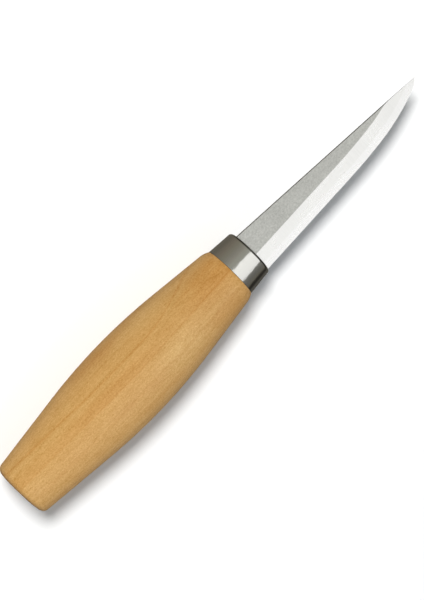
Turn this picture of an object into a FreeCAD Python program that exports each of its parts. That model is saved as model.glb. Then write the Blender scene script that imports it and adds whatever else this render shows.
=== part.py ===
import FreeCAD, Part
import math
import os
import Sketcher

# A chip carving knife with a fixed blade, in millimetres.
#
# The blade is one bar of three steel layers, welded together: a hard core that makes the cutting
# edge, and a softer side layer on each of its flats. Behind the blade the bar narrows to a tang,
# which runs right through the wooden handle and is peened over at the butt. A drawn steel ferrule
# caps the handle's front tenon, and the heel of the blade passes through a slot in its front wall.
#
# The sub-parts are drawn lying on their side: x runs along the handle's axis from the peened end
# of the tang (x = 0) to the tip, y runs from the cutting edge towards the spine, and z is square
# to the blade's flats, with the blade's middle plane at z = 0. Their placements then put the
# origin under the middle of the knife, level with the lowest line of the handle's belly.

DIMENSIONS = {
    "overall_length": 190.0,
    # Handle, an oval barrel. Its widths are measured in the blade's plane.
    "butt_x": 0.3,
    "butt_crown_radius": 300.0,
    "butt_corner_radius": 2.4,
    "butt_taper_end_x": 28.8,
    "belly_x": 51.4,
    "belly_width": 29.6,
    "belly_radius": 199.0,
    "front_taper_start_x": 75.2,
    "shoulder_radius": 8.0,
    "shoulder_x": 98.9,
    "wood_proud": 0.05,
    "oval_ratio": 0.8,
    # Ferrule, a tapered oval cup with its mouth at the handle's shoulder.
    "ferrule_front_x": 108.7,
    "ferrule_rear_width": 19.5,
    "ferrule_front_width": 17.8,
    "ferrule_wall": 0.8,
    "ferrule_corner_radius": 1.2,
    "ferrule_lip_radius": 0.2,
    "slot_clearance": 0.05,
    # Blade, outside the ferrule.
    "blade_thickness": 2.7,
    "core_thickness": 1.1,
    "heel_spine_y": 6.76,
    "heel_edge_y": -8.17,
    "tip_y": 0.86,
    "curve_start_x": 150.0,
    "curve_start_y": -7.13,
    "second_curve_x": 166.0,
    "tip_curve_x": 185.5,
    "first_curve_radius": 220.0,
    "second_curve_radius": 85.0,
    "bevel_width": 6.3,
    "edge_thickness": 0.06,
    "spine_break": 0.15,
    # Tang, inside the ferrule and the handle.
    "tang_relief": 0.05,
    "tang_front_width": 8.0,
    "tang_front_y": -0.6,
    "tang_rear_width": 6.0,
    "tang_rear_y": -1.1,
    "tang_clearance": 0.05,
    "peen_spread": 0.25,
    "peen_round": 0.15,
}

# A cutting shape runs past what it cuts by this much.
OVERRUN = 2.0
# The path of the bevel's cutter runs on past the tip by this much.
RUN_OUT = 12.0
# A point of a turned shape lies off the axis if it is further from it than this.
OFF_AXIS = 1.0
TINY = 1e-4

START, END, CENTRE = 1, 2, 3
ORIGIN = (-1, 1)
X_AXIS = -1

doc = FreeCAD.newDocument("chip_carving_knife")


# --- The sheet, and numbers worked out from it -----------------------------------------------------


def make_sheet():
    """Writes the driving dimensions to a spreadsheet, one alias a row."""
    made = doc.addObject("Spreadsheet::Sheet", "dims")
    for row, (alias, value) in enumerate(DIMENSIONS.items(), start=1):
        made.set(f"A{row}", alias)
        made.set(f"B{row}", str(value))
        made.setAlias(f"B{row}", alias)
    doc.recompute()
    return made


sheet = make_sheet()


def number(expression):
    """What an expression on the sheet comes to. It gives a sketch its first guess."""
    return float(sheet.evalExpression(expression))


SHOULDER_X = "dims.ferrule_front_x - dims.ferrule_wall"
HALF_THICKNESS = "dims.blade_thickness / 2"
HALF_CORE = "dims.core_thickness / 2"
EDGE_SLOPE = (
    "(dims.curve_start_y - dims.heel_edge_y) / (dims.curve_start_x - dims.ferrule_front_x)"
)
HANDLE_HALF_THICKNESS = "dims.belly_width * dims.oval_ratio / 2"


# --- Sketch helpers --------------------------------------------------------------------------------


def new_body(name):
    return doc.addObject("PartDesign::Body", name)


def new_sketch(body, name, role, offset=None):
    """A sketch on one of the body's origin planes, moved along the plane's normal by an expression."""
    sketch = body.newObject("Sketcher::SketchObject", name)
    plane = next(f for f in body.Origin.OriginFeatures if f.Role == role)
    sketch.AttachmentSupport = (plane, [""])
    sketch.MapMode = "FlatFace"
    if offset is not None:
        sketch.setExpression("AttachmentOffset.Base.z", offset)
        doc.recompute()
    return sketch


def add_line(sketch, start, end):
    """Draws a straight edge and returns (geometry, its start, its end)."""
    line = Part.LineSegment(FreeCAD.Vector(*start, 0), FreeCAD.Vector(*end, 0))
    return sketch.addGeometry(line, False), START, END


def add_arc(sketch, start, end, radius):
    """Draws a clockwise arc, which a sketch stores from its end back to its start."""
    a = FreeCAD.Vector(*start, 0)
    b = FreeCAD.Vector(*end, 0)
    chord = b - a
    outwards = FreeCAD.Vector(-chord.y, chord.x, 0).normalize()
    sagitta = radius - math.sqrt(radius**2 - (chord.Length / 2) ** 2)
    middle = (a + b) / 2 + outwards * sagitta
    return sketch.addGeometry(Part.Arc(b, middle, a), False), END, START


def join(sketch, first, second, smooth=False):
    """Joins the end of one edge to the start of the next."""
    kind = "Tangent" if smooth else "Coincident"
    sketch.addConstraint(Sketcher.Constraint(kind, first[0], first[2], second[0], second[1]))


def pin(sketch, geometry, position, x=None, y=None):
    """Holds a point at distances from the sketch's origin that expressions on the sheet give."""
    for kind, expression in (("DistanceX", x), ("DistanceY", y)):
        if expression is not None:
            constraint = Sketcher.Constraint(kind, *ORIGIN, geometry, position, number(expression))
            index = sketch.addConstraint(constraint)
            sketch.setExpression(f"Constraints[{index}]", expression)


def put_on_axis(sketch, geometry, position):
    sketch.addConstraint(Sketcher.Constraint("PointOnObject", geometry, position, X_AXIS))


def set_radius(sketch, geometry, expression):
    index = sketch.addConstraint(Sketcher.Constraint("Radius", geometry, number(expression)))
    sketch.setExpression(f"Constraints[{index}]", expression)


def draw_polygon(sketch, corners):
    """Draws a closed run of straight edges through corners that are pairs of expressions."""
    points = [(number(x), number(y)) for x, y in corners]
    edges = [add_line(sketch, a, b) for a, b in zip(points, points[1:] + points[:1])]
    for first, second in zip(edges, edges[1:] + edges[:1]):
        join(sketch, first, second)
    for edge, (x, y) in zip(edges, corners):
        pin(sketch, edge[0], edge[1], x, y)


# --- Feature helpers -------------------------------------------------------------------------------


def revolve(body, sketch):
    """Turns a profile about the knife's long axis."""
    turned = body.newObject("PartDesign::Revolution", sketch.Name + "_turned")
    turned.Profile = sketch
    turned.ReferenceAxis = (sketch, ["H_Axis"])
    turned.Angle = 360
    doc.recompute()
    return turned


def pad(body, sketch, length, midplane=False, reversed_way=False):
    padded = body.newObject("PartDesign::Pad", sketch.Name + "_pad")
    padded.Profile = sketch
    padded.setExpression("Length", length)
    padded.Midplane = midplane
    padded.Reversed = reversed_way
    doc.recompute()
    return padded


def dress(body, kind, base, edges, size):
    """Adds a Fillet or a Chamfer along the named edges of a feature."""
    dressed = body.newObject("PartDesign::" + kind, f"{base.Name}_{kind.lower()}")
    dressed.Base = (base, edges)
    dressed.setExpression("Radius" if kind == "Fillet" else "Size", size)
    doc.recompute()
    return dressed


def find_edges(feature, wanted):
    """Names the edges whose two ends both satisfy a test."""
    return [
        f"Edge{i}"
        for i, edge in enumerate(feature.Shape.Edges, start=1)
        if all(wanted(vertex.Point) for vertex in edge.Vertexes)
    ]


def make_oval(name, turned_body, ratio):
    """Squeezes a turned shape across the blade's flats, as a copying lathe cuts an oval."""
    oval = doc.addObject("Part::Scale", name)
    oval.Base = turned_body
    oval.Uniform = False
    oval.XScale = 1.0
    oval.YScale = 1.0
    oval.setExpression("ZScale", ratio)
    doc.recompute()
    return oval


def combine(kind, name, base, tool):
    """Part::Cut or Part::Fuse of two shapes."""
    made = doc.addObject("Part::" + kind, name)
    made.Base = base
    made.Tool = tool
    doc.recompute()
    return made


def place(sub_part, label):
    """Labels a finished sub-part and moves it to the knife's own origin."""
    sub_part.Label = label
    sub_part.setExpression("Placement.Base.x", "-dims.overall_length / 2")
    sub_part.setExpression("Placement.Base.z", HANDLE_HALF_THICKNESS)
    return sub_part


# --- Handle ----------------------------------------------------------------------------------------


def draw_handle_profile(sketch):
    """Half of the barrel: crowned butt, straight taper, belly arc, straight taper, rounded shoulder."""
    size = DIMENSIONS
    half = size["belly_width"] / 2

    def barrel(x):
        return half - (x - size["belly_x"]) ** 2 / (2 * size["belly_radius"])

    rear_x, front_x = size["butt_taper_end_x"], size["front_taper_start_x"]
    rear_slope = (size["belly_x"] - rear_x) / size["belly_radius"]
    front_slope = (front_x - size["belly_x"]) / size["belly_radius"]
    butt_half = barrel(rear_x) - rear_slope * (rear_x - size["butt_x"])
    crown_rise = butt_half**2 / (2 * size["butt_crown_radius"])
    round_x = size["shoulder_x"] - size["shoulder_radius"] / 2
    guess = [
        (size["butt_x"], 0.0),
        (size["butt_x"] + crown_rise, butt_half),
        (rear_x, barrel(rear_x)),
        (front_x, barrel(front_x)),
        (round_x, barrel(front_x) - front_slope * (round_x - front_x)),
        (size["shoulder_x"], size["ferrule_rear_width"] / 2 + size["wood_proud"]),
        (size["shoulder_x"], 0.0),
    ]
    crown = add_arc(sketch, guess[0], guess[1], size["butt_crown_radius"])
    rear_taper = add_line(sketch, guess[1], guess[2])
    belly = add_arc(sketch, guess[2], guess[3], size["belly_radius"])
    front_taper = add_line(sketch, guess[3], guess[4])
    shoulder = add_arc(sketch, guess[4], guess[5], size["shoulder_radius"])
    face = add_line(sketch, guess[5], guess[6])
    axis = add_line(sketch, guess[6], guess[0])
    join(sketch, crown, rear_taper)
    join(sketch, rear_taper, belly, smooth=True)
    join(sketch, belly, front_taper, smooth=True)
    join(sketch, front_taper, shoulder, smooth=True)
    join(sketch, shoulder, face)
    join(sketch, face, axis)
    join(sketch, axis, crown)
    put_on_axis(sketch, axis[0], START)
    put_on_axis(sketch, axis[0], END)
    put_on_axis(sketch, crown[0], CENTRE)
    pin(sketch, axis[0], END, x="dims.butt_x")
    pin(sketch, axis[0], START, x="dims.shoulder_x")
    pin(sketch, belly[0], belly[1], x="dims.butt_taper_end_x")
    pin(sketch, belly[0], belly[2], x="dims.front_taper_start_x")
    pin(sketch, belly[0], CENTRE, "dims.belly_x", "dims.belly_width / 2 - dims.belly_radius")
    pin(
        sketch,
        face[0],
        START,
        "dims.shoulder_x",
        "dims.ferrule_rear_width / 2 + dims.wood_proud",
    )
    set_radius(sketch, crown[0], "dims.butt_crown_radius")
    set_radius(sketch, belly[0], "dims.belly_radius")
    set_radius(sketch, shoulder[0], "dims.shoulder_radius")


def make_barrel():
    body = new_body("handle_barrel")
    profile = new_sketch(body, "barrel_profile", "XY_Plane")
    draw_handle_profile(profile)
    barrel = revolve(body, profile)
    corner_x = number("dims.butt_x + dims.butt_corner_radius")
    rim = find_edges(barrel, lambda p: p.x < corner_x and math.hypot(p.y, p.z) > OFF_AXIS)
    dress(body, "Fillet", barrel, rim, "dims.butt_corner_radius")
    return make_oval("handle_oval", body, "dims.oval_ratio")


def make_tenon(name):
    """The oval plug that fills the ferrule: the handle's tenon, and the ferrule's own hollow."""
    body = new_body(name)
    profile = new_sketch(body, name + "_profile", "XY_Plane")
    draw_polygon(
        profile,
        [
            ("dims.shoulder_x", "0"),
            ("dims.shoulder_x", "dims.ferrule_rear_width / 2 - dims.ferrule_wall"),
            (SHOULDER_X, "dims.ferrule_front_width / 2 - dims.ferrule_wall"),
            (SHOULDER_X, "0"),
        ],
    )
    revolve(body, profile)
    ratio = (
        "(dims.ferrule_rear_width * dims.oval_ratio - 2 * dims.ferrule_wall)"
        " / (dims.ferrule_rear_width - 2 * dims.ferrule_wall)"
    )
    return make_oval(name + "_oval", body, ratio)


def make_tang_mortise():
    """The tapered slot that the tang lies in, from the tenon's end to the butt."""
    body = new_body("tang_mortise")
    outline = new_sketch(body, "mortise_outline", "XY_Plane")
    rear = "dims.tang_rear_width / 2 + dims.tang_clearance"
    front = "dims.tang_front_width / 2 + dims.tang_clearance"
    draw_polygon(
        outline,
        [
            (f"-{OVERRUN}", f"dims.tang_rear_y - ({rear})"),
            (f"dims.ferrule_front_x + {OVERRUN}", f"dims.tang_front_y - ({front})"),
            (f"dims.ferrule_front_x + {OVERRUN}", f"dims.tang_front_y + {front}"),
            (f"-{OVERRUN}", f"dims.tang_rear_y + {rear}"),
        ],
    )
    height = "dims.blade_thickness - 2 * dims.tang_relief + 2 * dims.tang_clearance"
    pad(body, outline, height, midplane=True)
    return body


def make_handle():
    solid = combine("Fuse", "handle_solid", make_barrel(), make_tenon("handle_tenon"))
    handle = combine("Cut", "handle_bored", solid, make_tang_mortise())
    return place(handle, "handle")


# --- Ferrule ---------------------------------------------------------------------------------------


def make_ferrule_shell():
    body = new_body("ferrule_shell")
    profile = new_sketch(body, "shell_profile", "XY_Plane")
    draw_polygon(
        profile,
        [
            ("dims.shoulder_x", "0"),
            ("dims.shoulder_x", "dims.ferrule_rear_width / 2"),
            ("dims.ferrule_front_x", "dims.ferrule_front_width / 2"),
            ("dims.ferrule_front_x", "0"),
        ],
    )
    shell = revolve(body, profile)
    front_x = number("dims.ferrule_front_x")
    rear_x = number("dims.shoulder_x")
    corner = find_edges(shell, lambda p: abs(p.x - front_x) < TINY and abs(p.y) > OFF_AXIS)
    rounded = dress(body, "Fillet", shell, corner, "dims.ferrule_corner_radius")
    lip = find_edges(rounded, lambda p: abs(p.x - rear_x) < TINY and abs(p.y) > OFF_AXIS)
    dress(body, "Fillet", rounded, lip, "dims.ferrule_lip_radius")
    return make_oval("ferrule_oval", body, "dims.oval_ratio")


def make_slot_punch():
    """The slot in the ferrule's front wall has the blade's own section: flats, then the bevels."""
    body = new_body("slot_punch")
    section = new_sketch(body, "slot_section", "YZ_Plane", f"{SHOULDER_X} - {OVERRUN}")
    gap = "dims.slot_clearance"
    bevel_y = "dims.heel_edge_y + dims.bevel_width"
    draw_polygon(
        section,
        [
            (f"dims.heel_edge_y - {gap}", f"-dims.edge_thickness / 2 - {gap}"),
            (bevel_y, f"-{HALF_THICKNESS} - {gap}"),
            (f"dims.heel_spine_y + {gap}", f"-{HALF_THICKNESS} - {gap}"),
            (f"dims.heel_spine_y + {gap}", f"{HALF_THICKNESS} + {gap}"),
            (bevel_y, f"{HALF_THICKNESS} + {gap}"),
            (f"dims.heel_edge_y - {gap}", f"dims.edge_thickness / 2 + {gap}"),
        ],
    )
    pad(body, section, f"dims.ferrule_wall + {2 * OVERRUN}")
    return body


def make_ferrule():
    cup = combine("Cut", "ferrule_cup", make_ferrule_shell(), make_tenon("ferrule_hollow"))
    ferrule = combine("Cut", "ferrule_slotted", cup, make_slot_punch())
    return place(ferrule, "ferrule")


# --- Blade and tang --------------------------------------------------------------------------------


def edge_points():
    """First guesses for the joints of the cutting edge, from the heel to the tip."""
    size = DIMENSIONS
    slope = number(EDGE_SLOPE)
    run = size["second_curve_x"] - size["curve_start_x"]
    second_y = size["curve_start_y"] + slope * run + run**2 / (2 * size["first_curve_radius"])
    slope += run / size["first_curve_radius"]
    run = size["tip_curve_x"] - size["second_curve_x"]
    tip_curve_y = second_y + slope * run + run**2 / (2 * size["second_curve_radius"])
    return [
        (size["ferrule_front_x"], size["heel_edge_y"]),
        (size["curve_start_x"], size["curve_start_y"]),
        (size["second_curve_x"], second_y),
        (size["tip_curve_x"], tip_curve_y),
        (size["overall_length"], size["tip_y"]),
    ]


def draw_cutting_edge(sketch, heel, heel_expressions):
    """Draws the edge from the tip back to the heel: three arcs that open out, and a straight run."""
    size = DIMENSIONS
    _, curve_start, second, tip_curve, tip = edge_points()
    # The tip's arc takes its radius from its neighbour's slope, so this one is only to start from.
    first_radius = 2 * math.dist(tip, tip_curve)
    tip_arc = add_arc(sketch, tip, tip_curve, first_radius)
    second_arc = add_arc(sketch, tip_curve, second, size["second_curve_radius"])
    first_arc = add_arc(sketch, second, curve_start, size["first_curve_radius"])
    straight = add_line(sketch, curve_start, heel)
    join(sketch, tip_arc, second_arc, smooth=True)
    join(sketch, second_arc, first_arc, smooth=True)
    join(sketch, first_arc, straight, smooth=True)
    pin(sketch, tip_arc[0], tip_arc[1], "dims.overall_length", "dims.tip_y")
    pin(sketch, second_arc[0], second_arc[1], x="dims.tip_curve_x")
    pin(sketch, first_arc[0], first_arc[1], x="dims.second_curve_x")
    pin(sketch, straight[0], START, "dims.curve_start_x", "dims.curve_start_y")
    pin(sketch, straight[0], END, *heel_expressions)
    set_radius(sketch, first_arc[0], "dims.first_curve_radius")
    set_radius(sketch, second_arc[0], "dims.second_curve_radius")
    return tip_arc, straight


def draw_blade_outline(sketch):
    """The blade in front of the ferrule: straight spine, cutting edge, and the heel's end."""
    heel_edge, tip = edge_points()[0], edge_points()[-1]
    heel_spine = (DIMENSIONS["ferrule_front_x"], DIMENSIONS["heel_spine_y"])
    spine = add_line(sketch, heel_spine, tip)
    tip_arc, straight = draw_cutting_edge(
        sketch, heel_edge, ("dims.ferrule_front_x", "dims.heel_edge_y")
    )
    heel = add_line(sketch, heel_edge, heel_spine)
    join(sketch, spine, tip_arc)
    join(sketch, straight, heel)
    join(sketch, heel, spine)
    pin(sketch, spine[0], START, "dims.ferrule_front_x", "dims.heel_spine_y")


def draw_tang_outline(sketch):
    """The heel inside the ferrule's slot, its two square shoulders, and the tapered tang."""
    draw_polygon(
        sketch,
        [
            ("dims.ferrule_front_x", "dims.heel_spine_y"),
            ("dims.ferrule_front_x", "dims.heel_edge_y"),
            (SHOULDER_X, "dims.heel_edge_y"),
            (SHOULDER_X, "dims.tang_front_y - dims.tang_front_width / 2"),
            ("dims.butt_x", "dims.tang_rear_y - dims.tang_rear_width / 2"),
            ("dims.butt_x", "dims.tang_rear_y + dims.tang_rear_width / 2"),
            (SHOULDER_X, "dims.tang_front_y + dims.tang_front_width / 2"),
            (SHOULDER_X, "dims.heel_spine_y"),
        ],
    )


def draw_peened_end(sketch, low_z, high_z):
    """The section of a layer's peened end, spread past the tang on the sides that lie outside."""
    half = "dims.tang_rear_width / 2 + dims.peen_spread"
    draw_polygon(
        sketch,
        [
            (f"dims.tang_rear_y - ({half})", low_z),
            (f"dims.tang_rear_y + {half}", low_z),
            (f"dims.tang_rear_y + {half}", high_z),
            (f"dims.tang_rear_y - ({half})", high_z),
        ],
    )


def cut_bevel(body, side):
    """Grinds one bevel: a wedge of waste is swept along the cutting edge, on the side +1 or -1."""
    name = "upper" if side > 0 else "lower"
    start_y = f"dims.heel_edge_y - dims.ferrule_wall * {EDGE_SLOPE}"
    start = (number(SHOULDER_X), number(start_y))
    path = new_sketch(body, f"{body.Name}_{name}_edge_path", "XY_Plane")
    tip_arc, _ = draw_cutting_edge(path, start, (SHOULDER_X, start_y))
    tip = edge_points()[-1]
    diagonal = RUN_OUT * math.sqrt(0.5)
    beyond = (tip[0] + diagonal, tip[1] + diagonal)
    run_out = add_line(path, beyond, tip)
    join(path, run_out, tip_arc, smooth=True)
    index = path.addConstraint(Sketcher.Constraint("Distance", run_out[0], RUN_OUT))
    path.setDatum(index, FreeCAD.Units.Quantity(f"{RUN_OUT} mm"))

    sign = "" if side > 0 else "-1 * "
    slope = f"({HALF_THICKNESS} - dims.edge_thickness / 2) / dims.bevel_width"
    low = f"{sign}(dims.edge_thickness / 2 - {OVERRUN} * {slope})"
    high = f"{sign}({HALF_THICKNESS} + {OVERRUN})"
    waste = new_sketch(body, f"{body.Name}_{name}_waste", "YZ_Plane", SHOULDER_X)
    draw_polygon(
        waste,
        [
            (f"{start_y} - {OVERRUN}", low),
            (f"{start_y} + dims.bevel_width", f"{sign}({HALF_THICKNESS})"),
            (f"{start_y} + dims.bevel_width", high),
            (f"{start_y} - {OVERRUN}", high),
        ],
    )
    doc.recompute()
    before = body.Shape.Volume
    bevel = body.newObject("PartDesign::SubtractivePipe", f"{body.Name}_{name}_bevel")
    bevel.Profile = waste
    bevel.Spine = (path, [f"Edge{i}" for i in range(1, len(path.Shape.Edges) + 1)])
    bevel.Mode = "Binormal"
    bevel.Binormal = FreeCAD.Vector(0, 0, 1)
    doc.recompute()
    if body.Shape.Volume >= before:
        raise RuntimeError(f"the {name} bevel cuts nothing from {body.Name}")


def make_core():
    """The hard middle layer, whose ground edge cuts the wood."""
    body = new_body("blade_core")
    thickness = "dims.core_thickness"
    blade = new_sketch(body, "core_blade_outline", "XY_Plane")
    draw_blade_outline(blade)
    pad(body, blade, thickness, midplane=True)
    tang = new_sketch(body, "core_tang_outline", "XY_Plane")
    draw_tang_outline(tang)
    pad(body, tang, thickness, midplane=True)
    peen = new_sketch(body, "core_peen_section", "YZ_Plane")
    draw_peened_end(peen, f"-{HALF_CORE}", HALF_CORE)
    end = pad(body, peen, "dims.butt_x")
    rim = find_edges(end, lambda p: abs(p.x) < TINY)
    rim = [name for name in rim if end.Shape.getElement(name).Length < number("dims.tang_rear_width")]
    dress(body, "Fillet", end, rim, "dims.peen_round")
    cut_bevel(body, +1)
    cut_bevel(body, -1)
    return place(body, "blade_core")


def make_side_layer(label, side):
    """A soft side layer, on the side +1 or -1 of the core; the bevel grinds its lower half away."""
    body = new_body(label)
    below = side < 0
    sign = "-1 * " if below else ""
    inner = f"{sign}{HALF_CORE}"
    layer = f"{HALF_THICKNESS} - {HALF_CORE}"
    blade = new_sketch(body, label + "_blade_outline", "XY_Plane", inner)
    draw_blade_outline(blade)
    flat = pad(body, blade, layer, reversed_way=below)
    outer_z = side * number(HALF_THICKNESS)
    spine = find_edges(flat, lambda p: p.y > TINY and abs(p.z - outer_z) < TINY)
    dress(body, "Chamfer", flat, spine, "dims.spine_break")
    tang = new_sketch(body, label + "_tang_outline", "XY_Plane", inner)
    draw_tang_outline(tang)
    pad(body, tang, f"{layer} - dims.tang_relief", reversed_way=below)
    peen = new_sketch(body, label + "_peen_section", "YZ_Plane")
    outer = f"{sign}({HALF_THICKNESS} - dims.tang_relief + dims.peen_spread)"
    draw_peened_end(peen, inner, outer)
    end = pad(body, peen, "dims.butt_x")
    inner_z = number(inner)
    face_edges = find_edges(end, lambda p: abs(p.x) < TINY)
    rim = [
        name
        for name in face_edges
        if abs(end.Shape.getElement(name).CenterOfMass.z - inner_z) > TINY
    ]
    dress(body, "Fillet", end, rim, "dims.peen_round")
    cut_bevel(body, side)
    return place(body, label)


# --- The whole knife -------------------------------------------------------------------------------


def check_document():
    """Stops if any feature failed, because a recompute doesn't."""
    for made in doc.Objects:
        if "Invalid" in made.State or "Error" in made.State:
            raise RuntimeError(f"{made.Name} is {made.State}")


def write_parts(sub_parts):
    os.makedirs("parts", exist_ok=True)
    for sub_part in sub_parts:
        shape = sub_part.Shape
        if shape.isNull() or not shape.isValid() or len(shape.Solids) != 1:
            raise RuntimeError(f"{sub_part.Label} is not one valid solid")
        shape.exportStep(f"parts/{sub_part.Label}.step")
        print(f"{sub_part.Label}: {shape.Volume / 1000:.3f} cm3")


knife = [
    make_core(),
    make_side_layer("blade_side_right", +1),
    make_side_layer("blade_side_left", -1),
    make_ferrule(),
    make_handle(),
]
doc.recompute()
check_document()
write_parts(knife)
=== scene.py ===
import math

import bpy
from mathutils import Matrix, Vector, noise
from mathutils.bvhtree import BVHTree


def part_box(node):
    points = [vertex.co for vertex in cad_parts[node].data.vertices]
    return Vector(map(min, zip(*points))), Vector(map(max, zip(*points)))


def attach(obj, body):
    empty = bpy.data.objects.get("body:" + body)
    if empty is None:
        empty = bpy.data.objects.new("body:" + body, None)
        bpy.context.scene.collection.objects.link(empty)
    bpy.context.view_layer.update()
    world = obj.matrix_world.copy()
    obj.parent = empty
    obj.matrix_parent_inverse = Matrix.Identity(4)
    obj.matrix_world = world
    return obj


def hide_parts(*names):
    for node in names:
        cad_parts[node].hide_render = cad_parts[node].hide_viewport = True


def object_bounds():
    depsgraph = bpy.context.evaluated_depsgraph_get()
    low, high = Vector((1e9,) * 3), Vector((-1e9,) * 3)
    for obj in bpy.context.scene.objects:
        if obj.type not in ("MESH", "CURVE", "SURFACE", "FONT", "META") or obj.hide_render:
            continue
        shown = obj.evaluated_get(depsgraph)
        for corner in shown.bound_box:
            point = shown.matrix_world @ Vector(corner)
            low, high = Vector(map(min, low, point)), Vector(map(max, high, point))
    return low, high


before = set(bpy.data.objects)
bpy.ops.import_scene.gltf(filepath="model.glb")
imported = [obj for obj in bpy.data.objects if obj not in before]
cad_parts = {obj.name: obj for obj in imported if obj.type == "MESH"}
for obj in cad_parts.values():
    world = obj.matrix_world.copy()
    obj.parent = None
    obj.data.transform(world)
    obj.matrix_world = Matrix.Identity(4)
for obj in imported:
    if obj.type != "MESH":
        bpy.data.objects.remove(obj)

# A chip carving knife on a white table. Lengths are in metres, in the row's frame: x runs along
# the handle to the blade's tip, y from the cutting edge to the spine, z up from the table.

MM = 0.001
CAD_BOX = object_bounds()
CENTRE = (Vector(CAD_BOX[0]) + Vector(CAD_BOX[1])) / 2
BUTT_MM = 1000 * CAD_BOX[0][0]

# Camera: a long lens, almost straight above the knife, leaning towards its butt and its spine.
LENS_MM = 90.0
SENSOR_MM = 36.0
CLIP_START = 0.01
CAMERA_DISTANCE = 0.4934
AIM_OFFSET = Vector((-0.0066, -0.00193, 0.0))
LEAN_TO_BUTT = math.radians(5.7)
LEAN_TO_SPINE = math.radians(5.0)
AXIS_ANGLE_IN_VIEW = math.radians(46.22)

# Table: flat out to one radius, then a wall that curves up.
TABLE_FLAT_RADIUS = 1.6
TABLE_WALL_RADIUS = 0.7
TABLE_WALL_TURN = math.radians(80)
TABLE_SPOKES = 96
TABLE_WALL_STEPS = 16

# The softbox reaches a little further over the blade than over the handle.
SOFTBOX_SHIFT = 0.12
# Cool, to balance what the warm room adds to the shadow.
FILL_COLOR = (0.86, 1.0, 1.30)

# Colours of the dim room, by the angle in degrees from straight up towards the spine's side.
ROOM_COLORS = (
    (-180, (0.130, 0.120, 0.100)),
    (-122, (0.105, 0.100, 0.085)),
    (-107, (0.030, 0.027, 0.022)),
    (-97, (0.030, 0.027, 0.022)),
    (-86, (0.165, 0.155, 0.125)),
    (-68, (0.175, 0.170, 0.155)),
    (0, (0.410, 0.410, 0.360)),
    (16, (0.400, 0.400, 0.340)),
    (26, (0.360, 0.340, 0.290)),
    (38, (0.300, 0.287, 0.243)),
    (52, (0.270, 0.256, 0.200)),
    (75, (0.233, 0.205, 0.162)),
    (109, (0.170, 0.155, 0.123)),
    (180, (0.170, 0.155, 0.130)),
)

# Linear colours of the materials. The steels' are for the flats, the bevels and the spine, whose darker
# colour is painted shade.
TABLE_WHITE = (0.9, 0.9, 0.9)
WOOD_COLOR = (0.425, 0.238, 0.0745)
END_GRAIN_COLOR = (0.27, 0.125, 0.040)
END_RING_COLOR = (0.15, 0.058, 0.016)
SIDE_STEEL_COLORS = ((0.440, 0.441, 0.424), (0.694, 0.691, 0.684), (0.36, 0.36, 0.35))
CORE_STEEL_COLORS = ((0.440, 0.441, 0.424), (0.729, 0.725, 0.726), (0.40, 0.40, 0.39))
PEENED_COLOR = (0.33, 0.32, 0.31)
FERRULE_COLOR = (0.645, 0.64, 0.625)
FERRULE_SCRATCH_COLOR = (0.56, 0.555, 0.54)

# How much one unit of slow tone, and one of fine grain, lightens the wood's red, green and blue.
TONE_TINT = (0.045, 0.10, 0.18)
GRAIN_TINT = (0.041, 0.057, 0.10)

# Slow changes of the wood's tone: place from the butt along the handle and across it, half length
# and half width, all in millimetres, then how much paler (+) or more orange (-) the wood is there.
TONE_SPOTS = (
    (4, -4, 13, 6, 0.3),
    (70, -5, 14, 8, 1.2),
    (93, 4, 15, 9, -1.5),
    (90, -8, 12, 4, -1.1),
    (43, 2, 22, 3, -0.8),
    (47, 13, 13, 3, -1.1),
    (70, 11, 17, 3, 0.8),
)
SPOT_HEIGHT_MM = 20
SPOT_HALF_HEIGHT_MM = 14

# Noise textures: features per millimetre along each axis, detail, roughness and offset.
NOISES = {
    "wood_wander": ((0.02, 0.10, 0.10), 1.0, 0.5, (4, 7, 2)),
    "wood_mottle": ((0.16, 0.30, 0.30), 2.0, 0.5, (3, 9, 4)),
    "wood_streak": ((0.05, 1.4, 1.4), 3.0, 0.6, (11, 5, 2)),
    "wood_fleck": ((1.7, 2.4, 2.4), 3.0, 0.75, (2, 6, 9)),
    "wood_pore": ((0.30, 3.4, 3.4), 1.0, 0.5, (5, 1, 8)),
    "steel_grain": ((1.8, 1.8, 1.8), 3.0, 0.75, (0, 0, 0)),
    "steel_cloud": ((0.09, 0.25, 0.25), 2.0, 0.5, (4, 2, 6)),
    "steel_rolled": ((0.12, 5.0, 5.0), 2.0, 0.5, (9, 3, 5)),
    "steel_ground": ((5.0, 0.22, 0.22), 2.0, 0.5, (1, 7, 3)),
    "steel_hammered": ((0.9, 0.9, 0.9), 1.0, 0.5, (3, 1, 7)),
    "ferrule_drawn": ((0.28, 0.45, 0.45), 2.0, 0.5, (0, 0, 0)),
    "ferrule_scratch": ((0.25, 6.0, 6.0), 3.0, 0.5, (2, 8, 1)),
}

# The handle's skin: points round each loop, and how the loops are spaced.
AROUND = 192
BARREL_STEP = 0.45 * MM
SHOULDER_ZONE = 5 * MM
MORTISE_LOOPS = 41
BUTT_FACE_LOOPS = 14
BUTT_CORNER_LOOPS = 17
TENON_LOOPS = 9
BUTT_INSET = 3.0 * MM
MORTISE_INSET = 0.5 * MM
HAIR = 0.01 * MM
SHARP_ANGLE = math.radians(35)

# Relief of the wood's surface, with its noises in features per metre.
RELIEF_DEPTH = 0.02 * MM
RELIEF_FADE = 2.0 * MM
FIBRE_SCALE = (90, 1100, 1100)
WAVE_SCALE = (60, 160, 160)

TO_BUTT = Vector((-1, 0, 0))
TO_SPINE = Vector((0, 1, 0))
TO_EDGE = Vector((0, -1, 0))


# --- Camera and table ------------------------------------------------------------------------------


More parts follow.
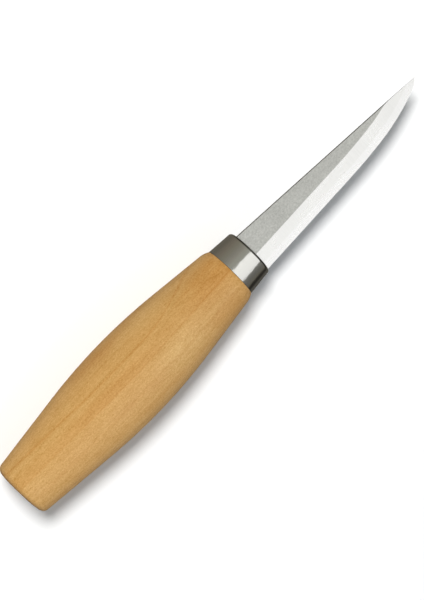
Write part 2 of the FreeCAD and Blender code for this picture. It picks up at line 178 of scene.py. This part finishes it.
def make_camera():
    data = bpy.data.cameras.new("camera")
    data.lens = LENS_MM
    data.sensor_fit = "VERTICAL"
    data.sensor_height = SENSOR_MM
    data.clip_start = CLIP_START
    towards = Vector((-math.tan(LEAN_TO_BUTT), math.tan(LEAN_TO_SPINE), 1.0)).normalized()
    along = Vector((1, 0, 0))
    along = (along - along.dot(towards) * towards).normalized()
    across = towards.cross(along)
    c = math.cos(AXIS_ANGLE_IN_VIEW)
    s = math.sin(AXIS_ANGLE_IN_VIEW)
    right = c * along - s * across
    up = s * along + c * across
    camera = bpy.data.objects.new("camera", data)
    rotation = Matrix((right, up, towards)).transposed().to_4x4()
    place = CENTRE + AIM_OFFSET + towards * CAMERA_DISTANCE
    camera.matrix_world = Matrix.Translation(place) @ rotation
    bpy.context.scene.collection.objects.link(camera)
    bpy.context.scene.camera = camera


def table_vertices():
    """The middle of the table, then the rings of the wall from its foot to its top."""
    vertices = [(0.0, 0.0, 0.0)]
    for i in range(TABLE_WALL_STEPS + 1):
        turn = TABLE_WALL_TURN * i / TABLE_WALL_STEPS
        r = TABLE_FLAT_RADIUS + TABLE_WALL_RADIUS * math.sin(turn)
        z = TABLE_WALL_RADIUS * (1 - math.cos(turn))
        for j in range(TABLE_SPOKES):
            a = 2 * math.pi * j / TABLE_SPOKES
            vertices.append((r * math.cos(a), r * math.sin(a), z))
    return vertices


def table_faces():
    faces = [(0, 1 + j, 1 + (j + 1) % TABLE_SPOKES) for j in range(TABLE_SPOKES)]
    for i in range(TABLE_WALL_STEPS):
        here = 1 + i * TABLE_SPOKES
        there = here + TABLE_SPOKES
        for j in range(TABLE_SPOKES):
            k = (j + 1) % TABLE_SPOKES
            faces.append((here + j, there + j, there + k, here + k))
    return faces


def make_table():
    """A round white table top that curves up into a low pale wall, far from the knife."""
    mesh = bpy.data.meshes.new("table")
    mesh.from_pydata(table_vertices(), [], table_faces())
    mesh.materials.append(table_material())
    for polygon in mesh.polygons:
        polygon.use_smooth = True
    table = bpy.data.objects.new("table", mesh)
    bpy.context.scene.collection.objects.link(table)
    # The polished steel mirrors the dim room instead of the table.
    table.visible_glossy = False


# --- Light -----------------------------------------------------------------------------------------


def lamp(name, kind, tilt_deg, lean_deg, distance, size, radiance, seen_in_gloss):
    """A soft lamp aimed at the knife from overhead, tilted towards its spine and leaning to its tip."""
    data = bpy.data.lights.new(name, "AREA")
    data.shape = kind
    data.size = size[0]
    area = math.pi / 4 * size[0] ** 2
    if kind == "RECTANGLE":
        data.size_y = size[1]
        area = size[0] * size[1]
    data.energy = radiance * math.pi * area
    tilt = math.radians(tilt_deg)
    lean = math.radians(lean_deg)
    upright = math.cos(lean)
    direction = Vector((math.sin(lean), upright * math.sin(tilt), upright * math.cos(tilt)))
    made = bpy.data.objects.new(name, data)
    rotation = direction.to_track_quat("Z", "Y").to_matrix().to_4x4()
    made.matrix_world = Matrix.Translation(CENTRE + direction * distance) @ rotation
    made.visible_camera = False
    made.visible_glossy = seen_in_gloss
    bpy.context.scene.collection.objects.link(made)
    return made


def make_lights(knife):
    lamp("key_light", "DISK", tilt_deg=22.0, lean_deg=4.0, distance=1.05, size=(0.4,),
         radiance=27.5, seen_in_gloss=False)
    fill = lamp("fill_light", "RECTANGLE", tilt_deg=-50.0, lean_deg=0.0, distance=1.2, size=(0.8, 0.8),
                radiance=1.3, seen_in_gloss=False)
    fill.data.color = FILL_COLOR
    softbox = lamp("softbox", "RECTANGLE", tilt_deg=-25.0, lean_deg=0.0, distance=1.2, size=(1.7, 1.14),
                   radiance=0.94, seen_in_gloss=True)
    softbox.location.x += SOFTBOX_SHIFT
    # The softbox is for the knife alone, so that the table keeps the key light's single shadow.
    softbox.light_linking.receiver_collection = knife
    make_world()


def make_world():
    """A dim room that the polished steel mirrors. Its colour goes by the angle about the knife's axis."""
    world = bpy.data.worlds.new("room")
    bpy.context.scene.world = world
    world.use_nodes = True
    tree = world.node_tree
    tree.nodes.clear()
    direction = node(tree, "SeparateXYZ", {0: node(tree, "TexCoord").outputs["Generated"]})
    # 0 is straight down on the edge's side (-y), 0.5 straight up, 1 straight down on the spine's side.
    angle = maths(tree, "ARCTAN2", direction.outputs["Y"], direction.outputs["Z"])
    turn = node(tree, "MapRange", {"Value": angle, "From Min": -math.pi, "From Max": math.pi})
    colors = node(tree, "ValToRGB", {"Fac": turn.outputs[0]})
    elements = colors.color_ramp.elements
    while len(elements) < len(ROOM_COLORS):
        elements.new(1.0)
    for element, (degrees, color) in zip(elements, ROOM_COLORS):
        element.position = (degrees + 180) / 360
        element.color = rgb(color)
    # The room's two ends, beyond the butt and the tip, are darker.
    sideways = maths(tree, "ABSOLUTE", direction.outputs["X"])
    strength = ramp(tree, sideways, 0.45, 0.85, 1.0, 0.25)
    background = node(tree, "Background", {"Color": colors.outputs[0], "Strength": strength})
    node(tree, "OutputWorld", {"Surface": background.outputs[0]})


# --- Node helpers ----------------------------------------------------------------------------------


def new_material(name):
    """An empty node material and its tree."""
    material = bpy.data.materials.new(name)
    material.use_nodes = True
    material.node_tree.nodes.clear()
    return material, material.node_tree


def node(tree, kind, inputs=None, **settings):
    """Adds a shader node. A value in inputs that is another node's socket is linked."""
    made = tree.nodes.new("ShaderNode" + kind)
    for key, value in settings.items():
        setattr(made, key, value)
    for key, value in (inputs or {}).items():
        if isinstance(value, bpy.types.NodeSocket):
            tree.links.new(value, made.inputs[key])
        else:
            made.inputs[key].default_value = value
    return made


def maths(tree, operation, a, b=0.0):
    return node(tree, "Math", {0: a, 1: b}, operation=operation).outputs[0]


def add_all(tree, values):
    total = values[0]
    for value in values[1:]:
        total = maths(tree, "ADD", total, value)
    return total


def scaled(tree, vector, scale):
    """A vector stretched by a factor along each axis."""
    return node(tree, "VectorMath", {0: vector, 1: scale}, operation="MULTIPLY").outputs[0]


def placed(tree, vector, scale, offset):
    """A vector stretched by a factor along each axis, then moved."""
    inputs = {0: vector, 1: scale, 2: offset}
    return node(tree, "VectorMath", inputs, operation="MULTIPLY_ADD").outputs[0]


def noise_at(tree, place, name):
    """One of the noise textures at a place in millimetres, about 0 to 1."""
    scale, detail, roughness, offset = NOISES[name]
    inputs = {"Vector": placed(tree, place, scale, offset), "Scale": 1.0,
              "Detail": detail, "Roughness": roughness}
    return node(tree, "TexNoise", inputs).outputs["Fac"]


def varied(tree, fac, gain):
    """Noise made to swing evenly about zero."""
    return maths(tree, "MULTIPLY", maths(tree, "SUBTRACT", fac, 0.5), gain)


def ramp(tree, value, low, high, to_low=0.0, to_high=1.0):
    """Maps low..high to to_low..to_high, smoothly and without overshoot."""
    inputs = {"Value": value, "From Min": low, "From Max": high, "To Min": to_low, "To Max": to_high}
    return node(tree, "MapRange", inputs, interpolation_type="SMOOTHSTEP").outputs[0]


def mix(tree, factor, a, b):
    made = node(tree, "Mix", data_type="RGBA")
    for index, value in ((0, factor), (6, a), (7, b)):
        if isinstance(value, bpy.types.NodeSocket):
            tree.links.new(value, made.inputs[index])
        else:
            made.inputs[index].default_value = value
    return made.outputs[2]


def rgb(color):
    return (*color, 1.0)


def millimetres(tree):
    """The place of a point on the object, in millimetres."""
    place = node(tree, "TexCoord").outputs["Object"]
    return scaled(tree, place, (1000, 1000, 1000))


def finish_material(tree, color, roughness, metallic, bump_height, bump_mm, extra=None):
    bump = node(tree, "Bump", {"Height": bump_height, "Distance": bump_mm * MM, "Strength": 1.0})
    inputs = {"Base Color": color, "Roughness": roughness, "Metallic": metallic,
              "Normal": bump.outputs[0]}
    inputs.update(extra or {})
    shader = node(tree, "BsdfPrincipled", inputs)
    node(tree, "OutputMaterial", {"Surface": shader.outputs[0]})


def table_material():
    material, tree = new_material("table_white")
    shader = node(tree, "BsdfPrincipled", {"Base Color": rgb(TABLE_WHITE), "Roughness": 0.9,
                                           "Specular IOR Level": 0.0})
    node(tree, "OutputMaterial", {"Surface": shader.outputs[0]})
    return material


# --- Wood ------------------------------------------------------------------------------------------


def tone_spot(tree, place, spot):
    """One soft patch on the handle's right-hand side, which fades out down to its left-hand side."""
    x, y, half_length, half_width, strength = spot
    centre = Vector((x + BUTT_MM, y, SPOT_HEIGHT_MM))
    reach = (half_length, half_width, SPOT_HALF_HEIGHT_MM)
    scale = tuple(1 / r for r in reach)
    offset = tuple(-c / r for c, r in zip(centre, reach))
    away = node(tree, "VectorMath", {0: placed(tree, place, scale, offset)}, operation="LENGTH")
    return ramp(tree, away.outputs["Value"], 0.15, 1.15, strength, 0.0)


def growth_line(tree, across, centre, depth):
    """A thin dark line along the grain where across passes centre, with a paler one inside it."""
    away = maths(tree, "SUBTRACT", across, centre)
    dark = ramp(tree, maths(tree, "ABSOLUTE", away), 0.06, 0.36, depth, 0.0)
    inner = maths(tree, "ABSOLUTE", maths(tree, "ADD", away, 0.75))
    return maths(tree, "ADD", dark, ramp(tree, inner, 0.1, 0.9, -0.5 * depth, 0.0))


def across_rings(tree, place, axes):
    """How far across the growth rings a point lies, in millimetres. The rings lean and wander."""
    wander = varied(tree, noise_at(tree, place, "wood_wander"), 1.6)
    leaning = maths(tree, "ADD", axes["Y"], maths(tree, "MULTIPLY", axes["Z"], 0.25))
    return maths(tree, "ADD", leaning, wander)


def growth_tones(tree, across, axes):
    """Two growth lines, one of which rises to the front, two changes of tone, and fainter lines."""
    rise = ramp(tree, axes["X"], BUTT_MM + 65, BUTT_MM + 94, 0.0, -2.9)
    upper = growth_line(tree, maths(tree, "ADD", across, rise), 11.9, -1.1)
    middle = growth_line(tree, across, 6.2, -0.7)
    step = ramp(tree, across, 5.8, 6.4, 0.22, -0.30)
    pale = ramp(tree, across, 8.6, 10.2, 0.0, 0.45)
    far = ramp(tree, maths(tree, "PINGPONG", across, 2.9), 0.2, 0.9, -0.45, 0.0)
    return [upper, middle, step, pale, far]


def ring_lines(tree, across, height):
    """Shallow arcs of the growth rings, for the end grain: 0 between them to 1 on them."""
    off_middle = maths(tree, "SUBTRACT", height, 12.0)
    bow = maths(tree, "MULTIPLY", maths(tree, "MULTIPLY", off_middle, off_middle), -0.012)
    phase = maths(tree, "PINGPONG", maths(tree, "ADD", across, bow), 0.85)
    return ramp(tree, phase, 0.05, 0.55, 1.0, 0.0)


def with_end_grain(tree, color, across, axes):
    """Darker wood with rings where the surface faces the butt or the tip."""
    normal = node(tree, "NewGeometry").outputs["Normal"]
    facing = maths(tree, "ABSOLUTE", node(tree, "SeparateXYZ", {0: normal}).outputs["X"])
    end_grain = ramp(tree, facing, 0.55, 0.9)
    end_color = mix(tree, ring_lines(tree, across, axes["Z"]), rgb(END_GRAIN_COLOR), rgb(END_RING_COLOR))
    return mix(tree, maths(tree, "MULTIPLY", end_grain, 0.50), color, end_color)


def tinted(tree, values, tint):
    """A factor about 1 for red, green and blue, from the sum of some values."""
    return placed(tree, add_all(tree, values), tint, (1, 1, 1))


def wood_material():
    """Oiled birch: patches of tone, faint growth lines, long streaks, fine flecks and short pores, with
    painted shading along and across the handle.
    """
    material, tree = new_material("oiled_birch")
    place = millimetres(tree)
    axes = node(tree, "SeparateXYZ", {0: place}).outputs
    across = across_rings(tree, place, axes)
    mottle = noise_at(tree, place, "wood_mottle")
    streak = noise_at(tree, place, "wood_streak")
    fleck = noise_at(tree, place, "wood_fleck")
    pore = ramp(tree, noise_at(tree, place, "wood_pore"), 0.68, 0.80)

    spots = [tone_spot(tree, place, spot) for spot in TONE_SPOTS]
    tones = spots + growth_tones(tree, across, axes) + [varied(tree, mottle, 1.3)]
    grains = [varied(tree, streak, 9.0), varied(tree, fleck, 22.0), maths(tree, "MULTIPLY", pore, -1.5)]
    # Painted shading: the wood is painted a little paler towards the butt and towards the edge's side,
    # and darker towards the ferrule and the spine's side, standing in for how the light falls along and
    # across the handle.
    painted_shading = maths(tree, "MULTIPLY", ramp(tree, axes["X"], BUTT_MM + 10, BUTT_MM + 95, 1.04, 0.93),
                   ramp(tree, axes["Y"], -14, 14, 1.07, 0.95))
    variation = scaled(tree, tinted(tree, tones, TONE_TINT), tinted(tree, grains, GRAIN_TINT))
    color = scaled(tree, variation, scaled(tree, WOOD_COLOR, painted_shading))
    color = with_end_grain(tree, color, across, axes)

    height = maths(tree, "SUBTRACT", fleck, maths(tree, "MULTIPLY", pore, 0.8))
    roughness = ramp(tree, mottle, 0.2, 0.8, 0.42, 0.56)
    finish_material(tree, color, roughness, 0.0, height, 0.012, {"Specular IOR Level": 0.4})
    return material


# --- Steel -----------------------------------------------------------------------------------------


def steel_faces(tree):
    """Where the bevels, the spine and the peened end are, each 0 to 1, told apart by slope."""
    true_normal = node(tree, "NewGeometry").outputs["True Normal"]
    slope = node(tree, "SeparateXYZ", {0: true_normal}).outputs
    bevel = ramp(tree, maths(tree, "ABSOLUTE", slope["Z"]), 0.992, 0.985)
    spine = ramp(tree, slope["Y"], 0.5, 0.6)
    peened = ramp(tree, slope["X"], -0.45, -0.6)
    return bevel, spine, peened


def about_one(tree, values):
    return add_all(tree, values + [1.0])


def steel_material(name, flat_color, bevel_color, shaded_spine_color):
    """Satin flats, bevels ground across, a spine painted darker as painted shade, and a peened end left
    dull and hammered.
    """
    material, tree = new_material(name)
    place = millimetres(tree)
    bevel, spine, peened = steel_faces(tree)
    grain = noise_at(tree, place, "steel_grain")
    cloud = noise_at(tree, place, "steel_cloud")
    rolled = noise_at(tree, place, "steel_rolled")
    ground = noise_at(tree, place, "steel_ground")
    hammered = noise_at(tree, place, "steel_hammered")

    satin = about_one(tree, [varied(tree, grain, 1.0), varied(tree, rolled, 0.25)])
    honed = about_one(tree, [varied(tree, ground, 0.16)])
    uneven = about_one(tree, [varied(tree, hammered, 1.2)])
    color = mix(tree, bevel, scaled(tree, flat_color, satin), scaled(tree, bevel_color, honed))
    # The spine's steel is painted darker: painted shade along its narrow face.
    color = mix(tree, spine, color, scaled(tree, shaded_spine_color, satin))
    color = mix(tree, peened, color, scaled(tree, PEENED_COLOR, uneven))

    # The fine ground grain scatters part of the light every way, except on the spine.
    mirror = ramp(tree, spine, 0.0, 1.0, 0.75, 1.0)
    metallic = maths(tree, "MULTIPLY", mirror, ramp(tree, peened, 0.0, 1.0, 1.0, 0.35))
    texture = mix(tree, bevel, grain, ground)
    texture = mix(tree, peened, texture, maths(tree, "MULTIPLY", hammered, 40.0))
    roughness = add_all(tree, [ramp(tree, cloud, 0.3, 0.7, -0.03, 0.03),
                               ramp(tree, bevel, 0.0, 1.0, 0.36, 0.28),
                               maths(tree, "MULTIPLY", peened, 0.15)])
    finish_material(tree, color, roughness, metallic, texture, 0.002)
    return material


def ferrule_material():
    """Polished plate with a slightly uneven drawn surface and fine scratches round it."""
    material, tree = new_material("ferrule_polished")
    place = millimetres(tree)
    drawn = noise_at(tree, place, "ferrule_drawn")
    scratch = noise_at(tree, place, "ferrule_scratch")
    scratched = ramp(tree, scratch, 0.35, 0.7, 0.0, 0.25)
    color = mix(tree, scratched, rgb(FERRULE_COLOR), rgb(FERRULE_SCRATCH_COLOR))
    roughness = ramp(tree, scratch, 0.3, 0.7, 0.10, 0.17)
    height = maths(tree, "ADD", drawn, maths(tree, "MULTIPLY", scratch, 0.04))
    finish_material(tree, color, roughness, 1.0, height, 0.05)
    return material


# --- The handle ------------------------------------------------------------------------------------


class Skin:
    """Finds places on a CAD node's surface by casting rays at it."""

    def __init__(self, node_name):
        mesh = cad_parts[node_name].data
        points = [v.co for v in mesh.vertices]
        self.tree = BVHTree.FromPolygons(points, [tuple(p.vertices) for p in mesh.polygons])

    def outside(self, inner, direction):
        """The outermost surface point on the ray from an inner point."""
        reach = 0.2
        direction = direction.normalized()
        return self.tree.ray_cast(inner + direction * reach, -direction)[0]

    def inside(self, inner, direction):
        """The first surface point on the ray from an inner point."""
        return self.tree.ray_cast(inner, direction.normalized())[0]

    def ring(self, x, axis, radial):
        """The outermost surface points all round the axis at x."""
        return [self.outside(Vector((x, 0, axis)), r) for r in radial]


def handle_angles():
    return [2 * math.pi * j / AROUND for j in range(AROUND)]


def oval(x, half_width, axis, ratio):
    return [Vector((x, half_width * math.cos(a), axis + ratio * half_width * math.sin(a)))
            for a in handle_angles()]


def noise_stretched(point, scale):
    return noise.noise(Vector((point.x * scale[0], point.y * scale[1], point.z * scale[2])))


def relief(point, outwards, strength):
    """Sinks the wood between its harder fibres, never outwards."""
    fibres = noise_stretched(point, FIBRE_SCALE)
    waves = noise_stretched(point, WAVE_SCALE)
    depth = max(0.5 + 0.35 * fibres + 0.6 * waves, 0.0)
    return point - outwards.normalized() * depth * strength * RELIEF_DEPTH


def mortise_middle(skin, x, axis):
    """The middle of the mortise's width at x."""
    centre = Vector((x, -1.0 * MM, axis))
    return (skin.inside(centre, TO_SPINE).y + skin.inside(centre, TO_EDGE).y) / 2


def mortise_loops(skin, low, high, axis, radial):
    """Loops from the tenon's face to just inside the butt."""
    front_x = high.x - HAIR
    rear_x = low.x + MORTISE_INSET
    front_y = mortise_middle(skin, high.x - MORTISE_INSET, axis)
    rear_y = mortise_middle(skin, rear_x, axis)
    loops = []
    for i in range(MORTISE_LOOPS):
        part = i / (MORTISE_LOOPS - 1)
        x = front_x + (rear_x - front_x) * part
        y = front_y + (rear_y - front_y) * part
        loops.append([skin.inside(Vector((x, y, axis)), r) for r in radial])
    return loops


def butt_loops(skin, low, axis, ratio, mortise_end, radial):
    """Loops over the butt's face, outwards from the mortise's mouth, then round its corner."""
    rim_x = low.x + BUTT_INSET
    rim_half_width = skin.outside(Vector((rim_x, 0, axis)), TO_SPINE).y - BUTT_INSET
    rim = oval(rim_x, rim_half_width, axis, ratio)
    mouth = [p + r.normalized() * HAIR for p, r in zip(mortise_end, radial)]
    loops = []
    for i in range(BUTT_FACE_LOOPS):
        part = i / BUTT_FACE_LOOPS
        loops.append([skin.outside(p.lerp(q, part), TO_BUTT) for p, q in zip(mouth, rim)])
    for i in range(BUTT_CORNER_LOOPS):
        turn = math.pi / 2 * i / (BUTT_CORNER_LOOPS - 1)
        loops.append([skin.outside(p, TO_BUTT * math.cos(turn) + r * math.sin(turn))
                      for p, r in zip(rim, radial)])
    return loops


def barrel_loops(skin, low, shoulder, axis, radial):
    """Loops along the barrel, closer near the shoulder. The relief fades out towards both ends."""
    rim_x = low.x + BUTT_INSET
    loops = []
    x = rim_x + BARREL_STEP
    while x < shoulder - HAIR:
        strength = min(1.0, (x - rim_x) / RELIEF_FADE, (shoulder - x) / RELIEF_FADE)
        places = skin.ring(x, axis, radial)
        loops.append([relief(p, r, strength) for p, r in zip(places, radial)])
        x += BARREL_STEP / 2 if shoulder - x < SHOULDER_ZONE else BARREL_STEP
    loops.append(skin.ring(shoulder - HAIR, axis, radial))
    return loops


def tenon_loops(skin, shoulder, high, axis, radial):
    """Loops along the tenon, inside the ferrule."""
    length = high.x - shoulder - 2 * HAIR
    return [skin.ring(shoulder + HAIR + length * i / (TENON_LOOPS - 1), axis, radial)
            for i in range(TENON_LOOPS)]


def close_loops(name, loops):
    """A closed ring-shaped mesh through loops of equal length: the last joins on to the first."""
    count = len(loops[0])
    vertices = [point for loop in loops for point in loop]
    faces = []
    for i in range(len(loops)):
        here = i * count
        there = (i + 1) % len(loops) * count
        for j in range(count):
            k = (j + 1) % count
            faces.append((here + j, here + k, there + k, there + j))
    mesh = bpy.data.meshes.new(name)
    mesh.from_pydata(vertices, [], faces)
    for polygon in mesh.polygons:
        polygon.use_smooth = True
    mesh.set_sharp_from_angle(angle=SHARP_ANGLE)
    made = bpy.data.objects.new(name, mesh)
    bpy.context.scene.collection.objects.link(made)
    return made


def make_handle():
    """The wooden barrel, its tenon and the mortise through both, as one closed skin of loops."""
    skin = Skin("handle")
    low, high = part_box("handle")
    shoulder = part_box("ferrule")[0].x
    axis = (low.z + high.z) / 2
    ratio = (high.z - low.z) / (high.y - low.y)
    radial = [Vector((0, math.cos(a), ratio * math.sin(a))) for a in handle_angles()]
    mortise = mortise_loops(skin, low, high, axis, radial)
    butt = butt_loops(skin, low, axis, ratio, mortise[-1], radial)
    barrel = barrel_loops(skin, low, shoulder, axis, radial)
    tenon = tenon_loops(skin, shoulder, high, axis, radial)
    handle = close_loops("handle_barrel", mortise + butt + barrel + tenon)
    handle.data.materials.append(wood_material())
    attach(handle, "root")
    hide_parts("handle")
    return handle


# --- The whole scene -------------------------------------------------------------------------------


def give(node_name, material):
    """Puts a material on every slot of a CAD node, which is returned."""
    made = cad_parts[node_name]
    made.data.materials.clear()
    made.data.materials.append(material)
    for polygon in made.data.polygons:
        polygon.material_index = 0
    return made


def finish_metal():
    """Gives the blade's three layers and the ferrule their steels, and returns those nodes."""
    side_steel = steel_material("side_satin", *SIDE_STEEL_COLORS)
    core_steel = steel_material("core_ground", *CORE_STEEL_COLORS)
    return [
        give("blade_side_right", side_steel),
        give("blade_side_left", side_steel),
        give("blade_core", core_steel),
        give("ferrule", ferrule_material()),
    ]


knife = bpy.data.collections.new("knife")
bpy.context.scene.collection.children.link(knife)

make_camera()
make_table()
make_lights(knife)

for piece in [make_handle()] + finish_metal():
    knife.objects.link(piece)

bpy.context.scene.view_settings.view_transform = "Standard"
